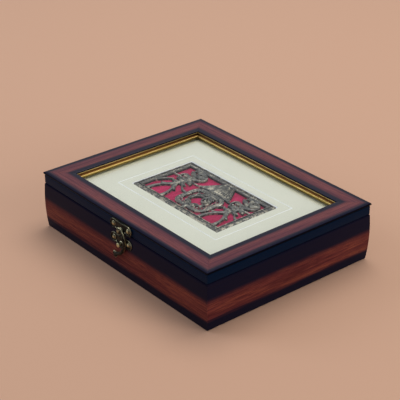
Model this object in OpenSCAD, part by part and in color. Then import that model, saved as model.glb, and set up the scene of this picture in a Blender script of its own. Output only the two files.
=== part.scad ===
// Keepsake box with a picture-frame lid: a lined wooden tray, a glazed lid that shows a
// pierced metal plaque on cloth, two small stop hinges and a swing-hook latch.
// Origin: centre of the resting face. +X runs along the latch wall, the hinges are at +Y.

/* [Box] */
// Width along the latch wall, over the lid's top edge
box_w = 200; // [180:1:240]
// Depth from the latch wall to the hinge wall
box_d = 160; // [140:1:200]
// Height of the tray's rim
rim_h = 38; // [37:1:48]
// Open seam between the rim and the lid frame
seam = 0.4; // [0.3:0.1:0.6]
// Height of the lid frame
lid_h = 9.6; // [9.4:0.1:10.4]

/* [Tray walls] */
// Thickness of a wall at its widest height
wall_t = 9.5; // [9:0.5:12]
// Height at which the bowed wall is widest
bow_z = 24; // [20:1:26]
// How far the wall tucks in at its foot
foot_in = 1.4; // [0.6:0.1:2]
// Rounding of the rim's outer arris
rim_round = 0.8; // [0.4:0.1:1.2]
// Width of the rabbet under the walls that holds the bottom panel
foot_rabbet = 4; // [3:0.5:5]

/* [Lid frame] */
// Width of a rail's top face
rail_w = 18.5; // [17:0.5:22]
// Overhang of the top lip over the rail's side face
lip_over = 0.7; // [0.3:0.1:1]
// Height of the top lip
lip_t = 1.8; // [1:0.1:2.5]
// Width of the rabbet that holds the glass and the mat
rail_rabbet = 4; // [3:0.5:5]
// How far the gilt slip shows inside the rail
slip_w = 2; // [1.5:0.1:3]

/* [Picture] */
// Depth of the glass below the frame's top
glass_drop = 5.5; // [5:0.1:6]
// Thickness of the glass
glass_t = 1; // [0.8:0.1:1.2]
// Depth of the mat below the frame's top
mat_drop = 7; // [6.8:0.1:7.2]
// Width of the plaque
plaque_w = 100.6; // [90:0.1:110]
// Depth of the plaque
plaque_d = 58.2; // [54:0.1:64]
// Width of the plaque's border
plaque_rim = 4.6; // [4:0.1:6]

/* [Linings] */
// Thickness of the lining boards on the walls
liner_t = 1.2; // [0.8:0.1:2]
// Height of the padded floor
base_pad_t = 5.5; // [3:0.5:8]
// Thickness of the padded panel under the lid
lid_pad_t = 3; // [2:0.5:4]

/* [Latch] */
// Place of the latch along the front
latch_x = 2; // [-20:1:20]
// Distance between the two nails of a plate
nail_gap = 17.4; // [16:0.2:20]
// Thickness of the stamped plates
plate_t = 0.8; // [0.6:0.1:1]
// Radius of a plate's wings
wing_r = 4; // [3.6:0.1:4.2]
// Radius of a plate's lobe
lobe_r = 3.7; // [3.2:0.1:4]
// Width of the hook's bar
hook_w = 2.6; // [2:0.1:2.8]
// Radius of the hook's bend, on its centreline
hook_r = 12.5; // [12:0.1:13]

/* [Hinges] */
// Distance of each hinge from the middle
hinge_x = 62; // [40:1:70]
// Width of a hinge leaf
leaf_w = 20; // [16:1:24]
// Outer radius of the hinge barrel
barrel_r = 1.6; // [1.5:0.1:1.8]
// Radius of the hinge pin
pin_r = 0.8; // [0.7:0.05:0.9]

/* [Hidden] */
$fn = 48;
FRONT = 0;
RIGHT = 1;
BACK = 2;
LEFT = 3;

// heights
lid_z = rim_h + seam;
top_z = lid_z + lid_h;
glass_z = top_z - glass_drop - glass_t;
cloth_t = 0.4;
cloth_top = lid_z + cloth_t;
mat_top = top_z - mat_drop;
backing_t = 2;
lip_under = top_z - 4.5;
felt_t = 1;
panel_t = 3;
floor_z = felt_t + panel_t;

// plan sizes, as half widths
half_w = box_w / 2;
half_d = box_d / 2;
sight_in = rail_w - rail_rabbet;
fit_gap = 0.3;
liner_drop = 1.2;
pad_gap = 0.8;

// fasteners
nail_r = 0.55;
nail_len = 6;
screw_r = 0.8;
screw_len = 6.5;
brad_r = 0.5;
drill = 0.03;

// latch, seen from the front: x across, z up
latch_face = -half_d - 0.1;
upper_nail_z = lid_z + 3.6;
lower_nail_z = rim_h - 7.4;
lobe_drop = 2.6;
pivot_z = upper_nail_z - lobe_drop;
peg_z = lower_nail_z - lobe_drop;
peg_r = 1.2;
hook_gap = 0.7;
hook_t = 1.3;
rivet_r = 1.1;
hook_cx = -6.5;
hook_cz = -8.2;
hook_from = 43;
hook_to = -64;
tail_len = 3.4;
fan_len = 4.2;
fan_w = 8;

// hinges, seen along the barrel
leaf_t = 0.8;
axis_y = half_d + barrel_r;
axis_z = rim_h + seam / 2;
knuckle = 6.4;
lid_leaf_y = half_d - lip_over;
stop_r = 3.3;
stop_at = 71;

// ---- helpers ----

function side_len(i) = i % 2 == 0 ? box_w : box_d;
function side_out(i) = i % 2 == 0 ? half_d : half_w;
function bow(z) = foot_in * pow((z - bow_z) / bow_z, 2);
function arc(cx, cy, r, a0, a1, n) =
    [for (k = [0 : n]) let (a = a0 + (a1 - a0) * k / n) [cx + r * cos(a), cy + r * sin(a)]];

// A bar along side i of a frame that starts k in from the outline, cut to 45 degree mitres.
// Its section is drawn with x inwards from that line and y up.
module mitred(i, k = 0) {
    len = side_len(i) - 2 * k;
    out = side_out(i) - k;
    over = 2;
    reach = 30;
    rotate([0, 0, 90 * i]) intersection() {
        translate([-len / 2 - over, -out, 0]) rotate([90, 0, 90]) linear_extrude(len + 2 * over)
            children();
        translate([0, 0, -1]) linear_extrude(top_z + 2) polygon([
            [-len / 2 - over, -out - over], [len / 2 + over, -out - over],
            [len / 2 - reach, -out + reach], [-len / 2 + reach, -out + reach]]);
    }
}

// A flat board, centred in plan, between two heights.
module board(hw, hd, z0, z1) {
    translate([-hw, -hd, z0]) cube([2 * hw, 2 * hd, z1 - z0]);
}

// L-shaped wedge nails across the four mitres, a distance in from the outer corner.
module corner_wedges(inset, z0, z1, grow = 0) {
    leg = 6;
    t = 0.6 + grow;
    for (sx = [-1, 1], sy = [-1, 1])
        translate([sx * (half_w - inset), sy * (half_d - inset), z0])
            mirror([sx > 0 ? 1 : 0, 0, 0]) mirror([0, sy > 0 ? 1 : 0, 0])
                translate([-grow, -grow, 0]) linear_extrude(z1 - z0) polygon([
                    [0, 0], [leg + grow, 0], [leg + grow, t], [t, t], [t, leg + grow],
                    [0, leg + grow]]);
}

module wall_wedges(grow = 0) {
    corner_wedges(4.5, floor_z + 3, floor_z + 11, grow);
}

module rail_wedges(grow = 0) {
    corner_wedges(6, lid_z, lid_z + 5, grow);
}

// Places its children on the front, turned so that their +Z points out of the wall.
module on_front(x, y, z) {
    translate([x, y, z]) rotate([90, 0, 0]) children();
}

module nail(head_y, z, grow = 0) {
    for (s = [-1, 1]) on_front(latch_x + s * nail_gap / 2, head_y, z) {
        translate([0, 0, -nail_len]) cylinder(r = nail_r + grow, h = nail_len + 0.1);
        if (grow == 0) cylinder(r1 = 1.3, r2 = 0.8, h = 0.5);
    }
}

module catch_nail_pair(grow = 0) {
    nail(latch_face - plate_t + 0.1, lower_nail_z, grow);
}

module latch_nail_pair(grow = 0) {
    nail(latch_face - plate_t, upper_nail_z, grow);
}

// Two screws in each hinge leaf, at a height and a head plane.
module hinge_screws(y, z, grow = 0) {
    for (hx = [-hinge_x, hinge_x], s = [-1, 1])
        translate([hx + s * leaf_w * 0.34, y, z]) rotate([-90, 0, 0]) {
            translate([0, 0, -screw_len]) cylinder(r = screw_r + grow, h = screw_len + 0.1);
            if (grow == 0) cylinder(r1 = 1.5, r2 = 1, h = 0.6);
        }
}

module body_screws(grow = 0) {
    hinge_screws(half_d + leaf_t, rim_h - 6.8, grow);
}

module lid_screws(grow = 0) {
    hinge_screws(lid_leaf_y + leaf_t, lid_z + 4.4, grow);
}

// Brads along a rectangle, pointing up from a height.
module brads(hw, hd, z, len, grow = 0) {
    for (sx = [-1, 1], sy = [-1, 1], f = [0.3, 0.8]) {
        translate([sx * hw * f, sy * hd, z]) cylinder(r = brad_r + grow, h = len);
        translate([sx * hw, sy * hd * f, z]) cylinder(r = brad_r + grow, h = len);
    }
}

module floor_brads(grow = 0) {
    brads(half_w - wall_t + 2, half_d - wall_t + 2, felt_t, panel_t + 7, grow);
}

module lid_brads(grow = 0) {
    brads(half_w - wall_t - liner_t - pad_gap - 1.5, half_d - wall_t - liner_t - pad_gap - 1.5,
          lid_z - backing_t, backing_t + 3.5, grow);
}

// ---- tray ----

module wall_section() {
    rise = rim_h - rim_round;
    polygon(concat(
        [[bow(0) + 0.5, 0]],
        [for (k = [1 : 16]) let (z = 0.4 + (rise - 0.4) * (k - 1) / 15) [bow(z), z]],
        arc(bow(rise) + rim_round, rise, rim_round, 165, 90, 4),
        [[wall_t, rim_h], [wall_t, floor_z], [wall_t - foot_rabbet, floor_z],
         [wall_t - foot_rabbet, 0]]));
}

module wall(i) {
    color("#4a2422") difference() {
        mitred(i) wall_section();
        wall_wedges(drill);
        floor_brads(drill);
        if (i == FRONT) catch_nail_pair(drill);
        if (i == BACK) body_screws(drill);
    }
}

module bottom_panel() {
    color("#8a6a48") difference() {
        board(half_w - wall_t + foot_rabbet - 0.1, half_d - wall_t + foot_rabbet - 0.1,
              felt_t, floor_z);
        floor_brads(drill);
    }
}

module base_felt() {
    color("#2a1518") board(half_w - wall_t + foot_rabbet - 0.2,
                           half_d - wall_t + foot_rabbet - 0.2, 0, felt_t);
}

module base_pad() {
    color("#7a1530") board(half_w - wall_t - liner_t - fit_gap, half_d - wall_t - liner_t - fit_gap,
                           floor_z, floor_z + base_pad_t);
}

// The front and back lining boards run the full width; the side ones fit between them.
module liner(i) {
    run = i % 2 == 0 ? half_w - wall_t : half_d - wall_t - liner_t;
    out = side_out(i) - wall_t;
    color("#6b1229") rotate([0, 0, 90 * i]) translate([-run, -out, floor_z])
        cube([2 * run, liner_t, rim_h - liner_drop - floor_z]);
}

// ---- lid frame ----

module rail_section() {
    round_r = 0.6;
    lip_z = top_z - lip_t;
    polygon(concat(
        [[lip_over + 0.6, lid_z], [lip_over, lid_z + 0.6], [lip_over, lip_z - 0.4], [0, lip_z + 0.4]],
        arc(round_r, top_z - round_r, round_r, 180, 90, 4),
        arc(rail_w - round_r, top_z - round_r, round_r, 90, 0, 4),
        [[rail_w, lip_under], [sight_in, lip_under], [sight_in, lid_z]]));
}

module rail(i) {
    color("#5a2c2c") difference() {
        mitred(i) rail_section();
        rail_wedges(drill);
        lid_brads(drill);
        if (i == FRONT) latch_nail_pair(drill);
        if (i == BACK) lid_screws(drill);
    }
}

// Gilt slip: a fillet, a hollow and a round bead, on a foot held under the rail's lip.
module slip_section() {
    foot = rail_rabbet - fit_gap;
    base = glass_z + glass_t;
    tall = top_z - 1 - base;
    bead = 1.1;
    polygon(concat(
        [[-foot, base], [slip_w, base], [slip_w, base + tall * 0.16]],
        arc(slip_w - bead, base + tall * 0.16 + 0.2, bead, 0, 80, 5),
        [[slip_w * 0.36, base + tall * 0.52], [slip_w * 0.3, base + tall * 0.75],
         [slip_w * 0.42, base + tall * 0.86], [slip_w * 0.36, base + tall * 0.98],
         [0, base + tall], [0, lip_under], [-foot, lip_under]]));
}

module slip(i) {
    color("#c79a3a") mitred(i, rail_w) slip_section();
}

// ---- picture ----

module glass() {
    color([0.85, 0.92, 0.9, 0.3])
        board(half_w - sight_in - fit_gap, half_d - sight_in - fit_gap, glass_z, glass_z + glass_t);
}

module mat_board() {
    color("#d9d8c4") difference() {
        board(half_w - sight_in - fit_gap, half_d - sight_in - fit_gap, cloth_top, mat_top);
        board(plaque_w / 2 + 0.3, plaque_d / 2 + 0.3, cloth_top - 1, mat_top + 1);
    }
}

module plaque_cloth() {
    color("#a5325a")
        board(half_w - sight_in - fit_gap, half_d - sight_in - fit_gap, lid_z, cloth_top);
}

// A leaf: the lens between two circles, with its stalk end at the origin, turned by a.
module leaf(len, wide, a) {
    r = (len * len / 4 + wide * wide / 4) / wide;
    rotate(a) intersection() {
        translate([len / 2, wide / 2 - r]) circle(r);
        translate([len / 2, r - wide / 2]) circle(r);
    }
}

// A part of a ring, between two angles less than half a turn apart.
module ring_part(r, wide, a0, a1) {
    far = 3 * r;
    difference() {
        circle(r + wide / 2);
        circle(r - wide / 2);
        polygon([[0, 0], [far * cos(a1), far * sin(a1)],
                 [far * cos((a0 + a1) / 2 + 120), far * sin((a0 + a1) / 2 + 120)],
                 [far * cos((a0 + a1) / 2 + 240), far * sin((a0 + a1) / 2 + 240)],
                 [far * cos(a0), far * sin(a0)]]);
    }
}

// A leafy spray that stands between the plaque's lower and upper borders.
module spray() {
    polygon([[-1, -8], [1.2, -8], [4.2, -25], [2.2, -25]]);
    polygon([[-0.6, -7], [1.6, -8], [-3.6, -25], [-5.6, -25]]);
    polygon([[-1.8, -9], [1.8, -9], [2.6, 12], [-0.6, 12]]);
    for (a = [25, 60, 100, 140, 165]) translate([0.6, 10]) leaf(12, 5, a);
    for (a = [-40, 0, 200]) translate([0.4, 2]) leaf(11, 4, a);
    translate([7.5, 3.6]) ring_part(6, 1.6, 190, 330);
    translate([0.6, -10]) leaf(9, 3.6, -75);
}

// The pierced work inside the plaque's border.
module pierced_work() {
    mid = [3, -6.5];
    for (x = [-29, 33]) translate([x, 0]) spray();
    for (x = [-47, 16]) translate([x, 7.3]) square([31, 1.4]);
    polygon([[-5, 26], [9, 26], [19, 8], [-14, 8]]);
    translate(mid) difference() {
        union() {
            square([26, 30], center = true);
            square([33, 22], center = true);
        }
        circle(r = 10.4);
    }
    translate(mid) difference() {
        circle(r = 8.6);
        circle(r = 7.4);
    }
    for (k = [0 : 7]) translate(mid) rotate(45 * k) leaf(12, 4, 0);
    translate([1.6, -26]) square([3, 6]);
}

module plaque() {
    inner_w = plaque_w - 2 * plaque_rim;
    inner_d = plaque_d - 2 * plaque_rim;
    tall = glass_z - 0.1 - cloth_top;
    color("#7b7670") translate([0, 0, cloth_top]) {
        linear_extrude(tall) difference() {
            square([plaque_w, plaque_d], center = true);
            square([inner_w, inner_d], center = true);
        }
        linear_extrude(tall - 0.4) intersection() {
            square([inner_w + 1, inner_d + 1], center = true);
            pierced_work();
        }
    }
}

module lid_backing() {
    color("#7a5a3c") difference() {
        board(half_w - wall_t - liner_t - pad_gap, half_d - wall_t - liner_t - pad_gap,
              lid_z - backing_t, lid_z);
        lid_brads(drill);
    }
}

module lid_pad() {
    color("#7a1530")
        board(half_w - wall_t - liner_t - pad_gap - 0.6, half_d - wall_t - liner_t - pad_gap - 0.6,
              lid_z - backing_t - lid_pad_t, lid_z - backing_t);
}

// ---- latch ----

// Outline of a stamped plate: two wings and a lobe, with x from its middle and y from the nails.
module butterfly(hole) {
    g = nail_gap / 2;
    difference() {
        union() {
            for (s = [-1, 1]) translate([s * g, 0]) circle(r = wing_r);
            translate([0, -lobe_drop]) circle(r = lobe_r);
            polygon([[-g, wing_r - 0.2], [0, wing_r - 0.5], [g, wing_r - 0.2], [g - 1.5, -2.6],
                     [lobe_r - 0.7, -lobe_drop - 0.6], [0.7 - lobe_r, -lobe_drop - 0.6],
                     [1.5 - g, -2.6]]);
        }
        for (s = [-1, 1]) translate([s * g, 0]) circle(r = nail_r + drill);
        translate([0, -lobe_drop]) circle(r = hole);
    }
}

module catch_plate() {
    color("#5b5340") on_front(latch_x, -half_d, lower_nail_z) difference() {
        union() {
            linear_extrude(plate_t) butterfly(0.2);
            translate([0, -lobe_drop, 0]) cylinder(r = 2, h = plate_t + 0.3);
        }
        translate([0, -lobe_drop, -1]) cylinder(r = peg_r + drill, h = 4);
    }
}

module catch_peg() {
    color("#8c7a4e") on_front(latch_x, -half_d, peg_z) {
        cylinder(r = peg_r, h = 3.4);
        translate([0, 0, 3.2]) cylinder(r1 = 1.8, r2 = 1.2, h = 0.8);
    }
}

module latch_plate() {
    stand = lip_over + 0.1;
    color("#5b5340") on_front(latch_x, latch_face, upper_nail_z) difference() {
        union() {
            translate([0, 0, -stand]) linear_extrude(plate_t + stand) butterfly(0.2);
            translate([0, -lobe_drop, 0]) cylinder(r = 2.3, h = plate_t + 0.4);
        }
        translate([-20, -20 + lid_z + 0.3 - upper_nail_z, -stand - 1]) cube([40, 20, stand + 1]);
        translate([0, -lobe_drop, -3]) cylinder(r = rivet_r + drill, h = 6);
    }
}

module latch_rivet() {
    hook_front = plate_t + hook_gap + hook_t;
    color("#8c7a4e") on_front(latch_x, latch_face, pivot_z) {
        cylinder(r = rivet_r, h = hook_front + 0.4);
        translate([0, 0, hook_front + 0.3]) cylinder(r1 = 1.6, r2 = 1, h = 0.6);
    }
}

// Swing hook: an eye on the rivet, a C-shaped bar and a flared thumb tip.
module latch_hook() {
    ex = hook_cx + hook_r * cos(hook_to);
    ez = hook_cz + hook_r * sin(hook_to);
    color("#6a5f45") on_front(latch_x, latch_face - plate_t - hook_gap, pivot_z)
        linear_extrude(hook_t) difference() {
            union() {
                circle(r = 2.7);
                translate([hook_cx, hook_cz]) ring_part(hook_r, hook_w, hook_to, hook_from);
                translate([ex, ez]) rotate(hook_to - 90) {
                    translate([-0.5, -hook_w / 2]) square([tail_len + 0.5, hook_w]);
                    translate([tail_len - 0.5, 0]) polygon([
                        [0, -hook_w / 2], [fan_len, -fan_w / 2], [fan_len - 0.9, 0],
                        [fan_len, fan_w / 2], [0, hook_w / 2]]);
                }
            }
            circle(r = rivet_r + 0.05);
        }
}

// ---- hinges ----

// A barrel along X, centred on the hinge axis.
module barrel(x, len, r) {
    translate([x, axis_y, axis_z]) rotate([0, 90, 0]) cylinder(r = r, h = len, center = true);
}

module leaf_holes(y, z) {
    for (s = [-1, 1])
        translate([s * leaf_w * 0.34, y - 2, z]) rotate([-90, 0, 0])
            cylinder(r = screw_r + drill, h = 4);
}

module body_leaf(hx) {
    low = rim_h - 9.4;
    color("#a08850") translate([hx, 0, 0]) difference() {
        union() {
            translate([-leaf_w / 2, half_d, low]) cube([leaf_w, leaf_t, axis_z - low]);
            for (s = [-1, 1]) barrel(s * (leaf_w - knuckle) / 2, knuckle, barrel_r);
            translate([-2.5, half_d, axis_z - 3]) cube([5, barrel_r + 3, leaf_t]);
        }
        translate([-knuckle / 2 - 0.3, half_d - 1, axis_z - 2.2]) cube([knuckle + 0.6, 6, 6]);
        barrel(0, leaf_w + 2, pin_r + 0.05);
        leaf_holes(half_d, rim_h - 6.8);
    }
}

module lid_leaf(hx) {
    low = lid_z + 1.2;
    color("#a08850") translate([hx, 0, 0]) difference() {
        union() {
            translate([-leaf_w / 2, lid_leaf_y, low])
                cube([leaf_w, leaf_t, top_z - lip_t - 0.5 - low]);
            translate([-knuckle / 2 + 0.2, lid_leaf_y, axis_z + 0.8])
                cube([knuckle - 0.4, axis_y - lid_leaf_y, 1]);
            barrel(0, knuckle - 0.2, barrel_r);
            translate([0, axis_y, axis_z]) rotate([stop_at, 0, 0])
                translate([-2.3, pin_r + 0.4, -0.4]) cube([4.6, stop_r - pin_r - 0.4, 0.8]);
        }
        barrel(0, leaf_w + 2, pin_r + 0.05);
        leaf_holes(lid_leaf_y, lid_z + 4.4);
    }
}

module hinge_pin(hx) {
    color("#8f7a4a") translate([hx, 0, 0]) {
        barrel(0, leaf_w + 0.2, pin_r);
        for (s = [-1, 1]) barrel(s * (leaf_w / 2 + 0.35), 0.5, 1.2);
    }
}

// ---- assembly ----

wall(FRONT);  // front_wall
wall(BACK);  // back_wall
wall(LEFT);  // left_wall
wall(RIGHT);  // right_wall
color("#8f9194") wall_wedges();  // wall_corner_wedges
bottom_panel();
color("#8f9194") floor_brads();  // bottom_brads
base_felt();
base_pad();
liner(FRONT);  // front_liner
liner(BACK);  // back_liner
liner(LEFT);  // left_liner
liner(RIGHT);  // right_liner
catch_plate();
catch_peg();
color("#b8a070") catch_nail_pair();  // catch_nails
body_leaf(-hinge_x);  // hinge_left_body_leaf
body_leaf(hinge_x);  // hinge_right_body_leaf
hinge_pin(-hinge_x);  // hinge_left_pin
hinge_pin(hinge_x);  // hinge_right_pin
color("#b8a070") body_screws();  // hinge_body_screws
rail(FRONT);  // rail_front
rail(BACK);  // rail_back
rail(LEFT);  // rail_left
rail(RIGHT);  // rail_right
color("#8f9194") rail_wedges();  // rail_corner_wedges
slip(FRONT);  // slip_front
slip(BACK);  // slip_back
slip(LEFT);  // slip_left
slip(RIGHT);  // slip_right
glass();
mat_board();
plaque();
plaque_cloth();
lid_backing();
color("#8f9194") lid_brads();  // backing_brads
lid_pad();
latch_plate();
latch_rivet();
color("#b8a070") latch_nail_pair();  // latch_nails
latch_hook();
lid_leaf(-hinge_x);  // hinge_left_lid_leaf
lid_leaf(hinge_x);  // hinge_right_lid_leaf
color("#b8a070") lid_screws();  // hinge_lid_screws
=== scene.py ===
import math

import bmesh
import bpy
from mathutils import Matrix, Vector


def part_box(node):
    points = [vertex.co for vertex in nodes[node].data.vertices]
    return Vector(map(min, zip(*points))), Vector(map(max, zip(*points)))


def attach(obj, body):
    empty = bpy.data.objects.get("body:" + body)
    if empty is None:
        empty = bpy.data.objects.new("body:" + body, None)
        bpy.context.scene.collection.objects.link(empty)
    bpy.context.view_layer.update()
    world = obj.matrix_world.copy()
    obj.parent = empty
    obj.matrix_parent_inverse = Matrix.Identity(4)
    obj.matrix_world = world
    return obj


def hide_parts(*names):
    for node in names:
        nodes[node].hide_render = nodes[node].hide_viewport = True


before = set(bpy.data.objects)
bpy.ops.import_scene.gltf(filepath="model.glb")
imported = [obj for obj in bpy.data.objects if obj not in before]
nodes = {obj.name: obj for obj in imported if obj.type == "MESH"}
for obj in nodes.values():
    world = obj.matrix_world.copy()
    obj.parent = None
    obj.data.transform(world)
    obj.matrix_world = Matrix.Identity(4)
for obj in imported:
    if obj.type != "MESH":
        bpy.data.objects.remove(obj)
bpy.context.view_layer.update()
mm = 0.001

# the frame's own sizes, in metres
railLow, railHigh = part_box("rail_front")
wallLow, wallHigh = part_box("front_wall")
halfW = railHigh.x
halfD = -railLow.y
topZ = railHigh.z
lidZ = railLow.z
rimZ = wallHigh.z
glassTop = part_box("glass")[1].z
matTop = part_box("mat_board")[1].z
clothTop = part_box("plaque_cloth")[1].z
plaqueLow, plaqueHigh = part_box("plaque")
sideTurn = {"front": 0, "right": 90, "back": 180, "left": 270}


camera = {
    # azimuth is turned from the front wall, both angles in degrees, the lens in mm
    "place": (0.6696, -0.5567, 0.4958),
    "azimuth": 50.44,
    "elevation": 27.80,
    "lens": 115.3,
    "sensor": 36,
    "near": 0.05,
}

studio = {
    "floorColour": (0.48, 0.285, 0.190),
    "floorSize": 6.0,
    "floorDrop": 0.2 * mm,
    "sky": (0.93, 0.95, 1.0),
    "skyStrength": 0.50,
    # name: place, aim, width, height, watts, colour
    "lights": {
        "overhead": ((-0.25, 0.55, 1.5), (0, 0, 0.03), 1.3, 1.1, 16.6, (1.0, 0.98, 0.95)),
        "keyLeft": ((-1.3, -1.1, 1.0), (0, 0, 0.02), 0.9, 0.9, 11, (0.78, 0.86, 1.0)),
        "fillRight": ((1.5, 0.5, 0.7), (0, 0, 0.02), 0.9, 0.9, 10, (1.0, 0.97, 0.94)),
    },
}


def aimedAt(place, target):
    return (Vector(target) - Vector(place)).to_track_quat("-Z", "Y")


def makeCamera():
    azimuth = math.radians(camera["azimuth"])
    elevation = math.radians(camera["elevation"])
    level = math.cos(elevation)
    back = Vector((math.sin(azimuth) * level, -math.cos(azimuth) * level, math.sin(elevation)))
    view = bpy.data.objects.new("camera", bpy.data.cameras.new("camera"))
    view.data.lens = camera["lens"]
    view.data.sensor_width = camera["sensor"]
    view.data.clip_start = camera["near"]
    view.location = camera["place"]
    view.rotation_mode = "QUATERNION"
    view.rotation_quaternion = (-back).to_track_quat("-Z", "Y")
    bpy.context.scene.collection.objects.link(view)
    bpy.context.scene.camera = view


def makeLights():
    for name, (place, target, width, height, watts, colour) in studio["lights"].items():
        lamp = bpy.data.lights.new(name, "AREA")
        lamp.shape = "RECTANGLE"
        lamp.size = width
        lamp.size_y = height
        lamp.energy = watts
        lamp.color = colour
        holder = bpy.data.objects.new(name, lamp)
        holder.location = place
        holder.rotation_mode = "QUATERNION"
        holder.rotation_quaternion = aimedAt(place, target)
        bpy.context.scene.collection.objects.link(holder)
    world = bpy.data.worlds.new("sky")
    bpy.context.scene.world = world
    world.use_nodes = True
    background = world.node_tree.nodes["Background"]
    background.inputs["Color"].default_value = (*studio["sky"], 1)
    background.inputs["Strength"].default_value = studio["skyStrength"]


class Sock:
    # an output socket; arithmetic on it adds Math nodes

    def __init__(self, shader, socket):
        self.shader = shader
        self.socket = socket

    def maths(self, operation, first, second=0.0):
        return self.shader.maths(operation, first, second)

    def __add__(self, other):
        return self.maths("ADD", self, other)

    def __radd__(self, other):
        return self.maths("ADD", other, self)

    def __sub__(self, other):
        return self.maths("SUBTRACT", self, other)

    def __rsub__(self, other):
        return self.maths("SUBTRACT", other, self)

    def __mul__(self, other):
        return self.maths("MULTIPLY", self, other)

    def __rmul__(self, other):
        return self.maths("MULTIPLY", other, self)

    def __truediv__(self, other):
        return self.maths("DIVIDE", self, other)

    def __pow__(self, other):
        return self.maths("POWER", self, other)

    def __abs__(self):
        return self.maths("ABSOLUTE", self)


class Shader:
    # a material with a Principled BSDF; fixed values go on its own sockets

    def __init__(self, name, **fixed):
        self.material = bpy.data.materials.new(name)
        self.material.use_nodes = True
        self.tree = self.material.node_tree
        self.surface = self.tree.nodes["Principled BSDF"]
        for socket, value in fixed.items():
            self.surface.inputs[socket.replace("_", " ")].default_value = value

    def node(self, kind, settings=None, values=None, out=0):
        made = self.tree.nodes.new(kind)
        for key, value in (settings or {}).items():
            setattr(made, key, value)
        pairs = values.items() if isinstance(values, dict) else enumerate(values or [])
        for key, value in pairs:
            if isinstance(value, Sock):
                self.tree.links.new(value.socket, made.inputs[key])
            else:
                made.inputs[key].default_value = value
        return Sock(self, made.outputs[out])

    def maths(self, operation, first, second=0.0):
        return self.node("ShaderNodeMath", {"operation": operation}, [first, second])

    def place(self):
        return self.node("ShaderNodeTexCoord", out="Object")

    def axes(self):
        whole = self.node("ShaderNodeSeparateXYZ", values=[self.place()])
        split = whole.socket.node.outputs
        return Sock(self, split[0]), Sock(self, split[1]), Sock(self, split[2])

    def vector(self, x, y, z):
        return self.node("ShaderNodeCombineXYZ", values=[x, y, z])

    def noise(self, vector, scale, detail=3.0, rough=0.55):
        return self.node("ShaderNodeTexNoise", values={
            "Vector": vector, "Scale": scale, "Detail": detail, "Roughness": rough})

    def band(self, value, low, high):
        return self.node("ShaderNodeMapRange", {"interpolation_type": "SMOOTHSTEP"}, {
            "Value": value, "From Min": low, "From Max": high})

    def mix(self, mask, first, second):
        return self.node("ShaderNodeMix", {"data_type": "RGBA"}, {
            0: mask, 6: asColour(first), 7: asColour(second)}, out=2)

    def bump(self, height, strength, distance):
        made = self.node("ShaderNodeBump", values={
            "Strength": strength, "Distance": distance, "Height": height})
        self.to(Normal=made)

    def to(self, **links):
        for key, value in links.items():
            self.tree.links.new(value.socket, self.surface.inputs[key.replace("_", " ")])


def asColour(value):
    return value if isinstance(value, Sock) else (*value, 1)


wood = {
    "black": (0.003, 0.005, 0.016),
    "blackWarm": (0.010, 0.006, 0.014),
    "railBlack": (0.000, 0.007, 0.024),
    # lipShadowBlack is a painted shadow: the lip's face is painted near pure black for the shade
    # under the lip
    "lipShadowBlack": (0.000, 0.000, 0.001),
    "red": (0.130, 0.029, 0.026),
    "redLight": (0.250, 0.066, 0.034),
    "redDeep": (0.062, 0.012, 0.014),
    "topRed": (0.125, 0.034, 0.040),
    "topRedDeep": (0.060, 0.014, 0.024),
    # scale along the grain per metre and across it per mm, detail, roughness of the noise
    "streaks": (22, 0.9, 4.0, 0.62),
    "fine": (60, 3.5, 2.0, 0.5),
    "cloud": (9, 0.12, 2.0, 0.5),
    "pore": (130, 3.0, 2.0, 0.5),
    # heights on a wall, mm: black, fade, red, fade, black
    "wallBands": (6.0, 11.5, 21.0, 27.0),
    # distances in from a rail's outer edge, mm
    "railBands": (2.5, 5.5, 12.0, 14.9),
    # how far streaks and cloud move a band's edge, mm, and the rails' share of it
    "wander": (4.2, 2.0),
    "railWander": 0.45,
    # depths below the lid's top, mm, between which each comes in
    "redDepth": (1.6, 0.8),
    "blackDepth": (0.5, 0.2),
    "polishDepth": (0.42, 0.16),
    "polishIn": (1.3, 2.6),
    # how far below the lip, mm, the painted lip shadow fades in
    "lipFade": 0.6,
    "wallLight": 0.65,
    "railLight": 0.30,
    "pores": 0.72,
    # depths below the tray's rim, mm, where the wall is rough, and by how much
    "seamDepth": (1.4, 0.6),
    "seamRough": 0.6,
    "rough": 0.26,
    "roughSpread": 0.14,
    "shine": 0.05,
    "shineTint": (0.22, 0.42, 1.0, 1),
    "topCoat": 0.34,
    "coatRough": 0.16,
    "otherBar": 0.7,
}


def grainAxes(shader):
    # along and across a mitred frame: whichever edge is nearer names the bar
    x, y, z = shader.axes()
    fromSide = halfW - abs(x)
    fromFront = halfD - abs(y)
    onSide = shader.maths("LESS_THAN", fromSide, fromFront)
    inward = shader.maths("MINIMUM", fromSide, fromFront)
    along = x + onSide * (y - x)
    return along, inward / mm, z / mm, onSide


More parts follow.
